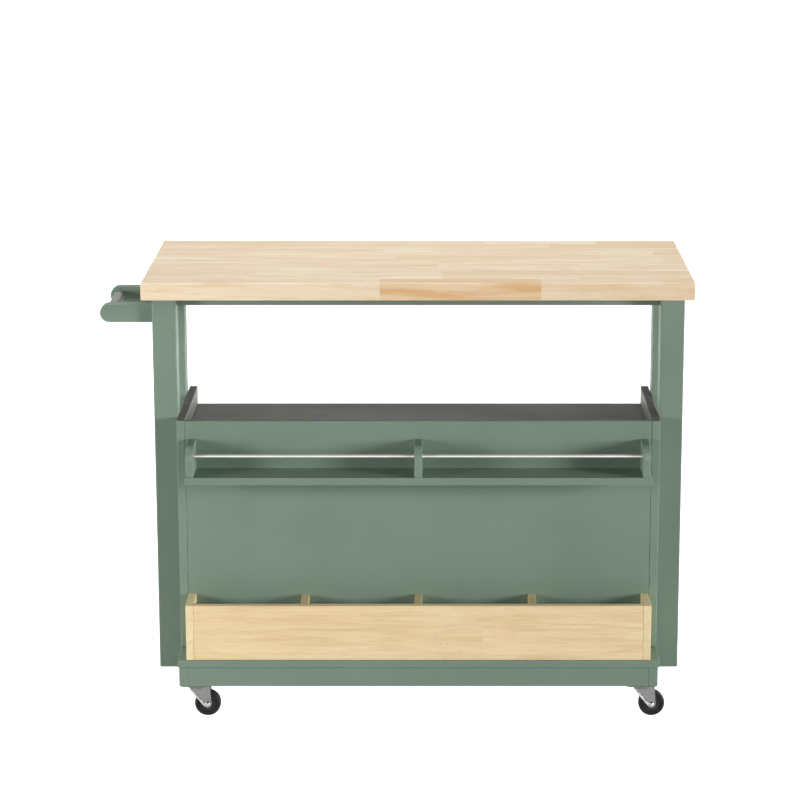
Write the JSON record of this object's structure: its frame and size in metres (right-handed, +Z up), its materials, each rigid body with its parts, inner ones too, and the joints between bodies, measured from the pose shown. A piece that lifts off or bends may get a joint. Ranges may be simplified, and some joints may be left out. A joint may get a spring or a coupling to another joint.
{
  "type": "kitchen island cart",
  "caption": "Kitchen island cart with a solid wood worktop on posts, a low cabinet with doors and drawers, a spice shelf, a bottle box, a towel rail and swivel casters.",
  "frame": {"origin": "on the floor, under the centre of the whole cart's bounding box", "axes": "+X to the right as seen from the back, where the spice shelf is, so the towel rail is at -X; +Y from the back to the doors and drawers; +Z up"},
  "size_m": [1.1556, 0.46, 0.882],
  "materials": {
    "rubberwood": "finger-jointed rubberwood under clear satin lacquer",
    "sage_paint": "satin sage-green lacquer on board",
    "pale_timber": "plain planed timber",
    "satin_steel": "satin steel",
    "zinc_plate": "bright zinc plating on pressed steel",
    "black_rubber": "matt black rubber tread"
  },
  "bodies": {
    "cart": {"worktop": "rubberwood", "post_back_left": "sage_paint", "post_back_right": "sage_paint", "post_front_left": "sage_paint", "post_front_right": "sage_paint", "top_rail_back": "sage_paint", "top_rail_front": "sage_paint", "towel_arm_back": "sage_paint", "towel_arm_front": "sage_paint", "towel_bar": "satin_steel", "side_panel_left": "sage_paint", "side_panel_right": "sage_paint", "back_panel": "sage_paint", "top_board": "sage_paint", "deck_board": "sage_paint", "partition": "sage_paint", "cabinet_shelf": "sage_paint", "plinth_back": "sage_paint", "plinth_front": "sage_paint", "plinth_left": "sage_paint", "plinth_right": "sage_paint", "caster_batten_left": "pale_timber", "caster_batten_right": "pale_timber", "spice_shelf": "sage_paint", "spice_bracket_left": "sage_paint", "spice_bracket_middle": "sage_paint", "spice_bracket_right": "sage_paint", "spice_rod_left": "satin_steel", "spice_rod_right": "satin_steel", "bottle_box_front": "rubberwood", "bottle_box_end_left": "rubberwood", "bottle_box_end_right": "rubberwood", "bottle_divider_left": "rubberwood", "bottle_divider_middle": "rubberwood", "bottle_divider_right": "rubberwood", "caster_plate_back_left": "zinc_plate", "caster_plate_back_right": "zinc_plate", "caster_plate_front_left": "zinc_plate", "caster_plate_front_right": "zinc_plate"},
    "left_door": {"door_left": "sage_paint", "door_knob_left": "satin_steel"},
    "right_door": {"door_right": "sage_paint", "door_knob_right": "satin_steel"},
    "top_drawer": {"drawer_front_top": "sage_paint", "drawer_box_top": "pale_timber", "drawer_knob_top": "satin_steel"},
    "middle_drawer": {"drawer_front_middle": "sage_paint", "drawer_box_middle": "pale_timber", "drawer_knob_middle": "satin_steel"},
    "bottom_drawer": {"drawer_front_bottom": "sage_paint", "drawer_box_bottom": "pale_timber", "drawer_knob_bottom": "satin_steel"},
    "swivel_back_left": {"caster_fork_back_left": "zinc_plate"},
    "wheel_back_left": {"caster_wheel_back_left": "black_rubber"},
    "swivel_back_right": {"caster_fork_back_right": "zinc_plate"},
    "wheel_back_right": {"caster_wheel_back_right": "black_rubber"},
    "swivel_front_left": {"caster_fork_front_left": "zinc_plate"},
    "wheel_front_left": {"caster_wheel_front_left": "black_rubber"},
    "swivel_front_right": {"caster_fork_front_right": "zinc_plate"},
    "wheel_front_right": {"caster_wheel_front_right": "black_rubber"}
  },
  "joints": [
    {"name": "left_door_hinge", "type": "hinge", "parent": "cart", "child": "left_door", "pos_m": [-0.42745, 0.1668, 0.1275], "axis": [0, 0, 1], "range_deg": [0, 90]},
    {"name": "right_door_hinge", "type": "hinge", "parent": "cart", "child": "right_door", "pos_m": [0.20275, 0.1668, 0.1275], "axis": [0, 0, -1], "range_deg": [0, 90]},
    {"name": "top_drawer_slide", "type": "slide", "parent": "cart", "child": "top_drawer", "axis": [0, 1, 0], "range_m": [0, 0.2]},
    {"name": "middle_drawer_slide", "type": "slide", "parent": "cart", "child": "middle_drawer", "axis": [0, 1, 0], "range_m": [0, 0.2]},
    {"name": "bottom_drawer_slide", "type": "slide", "parent": "cart", "child": "bottom_drawer", "axis": [0, 1, 0], "range_m": [0, 0.2]},
    {"name": "caster_swivel_back_left", "type": "hinge", "parent": "cart", "child": "swivel_back_left", "pos_m": [-0.39325, -0.1945, 0.064], "axis": [0, 0, 1], "continuous": true},
    {"name": "wheel_spin_back_left", "type": "hinge", "parent": "swivel_back_left", "child": "wheel_back_left", "pos_m": [-0.37125, -0.1945, 0.026], "axis": [0, 1, 0], "continuous": true},
    {"name": "caster_swivel_back_right", "type": "hinge", "parent": "cart", "child": "swivel_back_right", "pos_m": [0.48875, -0.1945, 0.064], "axis": [0, 0, 1], "continuous": true},
    {"name": "wheel_spin_back_right", "type": "hinge", "parent": "swivel_back_right", "child": "wheel_back_right", "pos_m": [0.51075, -0.1945, 0.026], "axis": [0, 1, 0], "continuous": true},
    {"name": "caster_swivel_front_left", "type": "hinge", "parent": "cart", "child": "swivel_front_left", "pos_m": [-0.39325, 0.1345, 0.064], "axis": [0, 0, 1], "continuous": true},
    {"name": "wheel_spin_front_left", "type": "hinge", "parent": "swivel_front_left", "child": "wheel_front_left", "pos_m": [-0.37125, 0.1345, 0.026], "axis": [0, 1, 0], "continuous": true},
    {"name": "caster_swivel_front_right", "type": "hinge", "parent": "cart", "child": "swivel_front_right", "pos_m": [0.48875, 0.1345, 0.064], "axis": [0, 0, 1], "continuous": true},
    {"name": "wheel_spin_front_right", "type": "hinge", "parent": "swivel_front_right", "child": "wheel_front_right", "pos_m": [0.51075, 0.1345, 0.026], "axis": [0, 1, 0], "continuous": true}
  ]
}
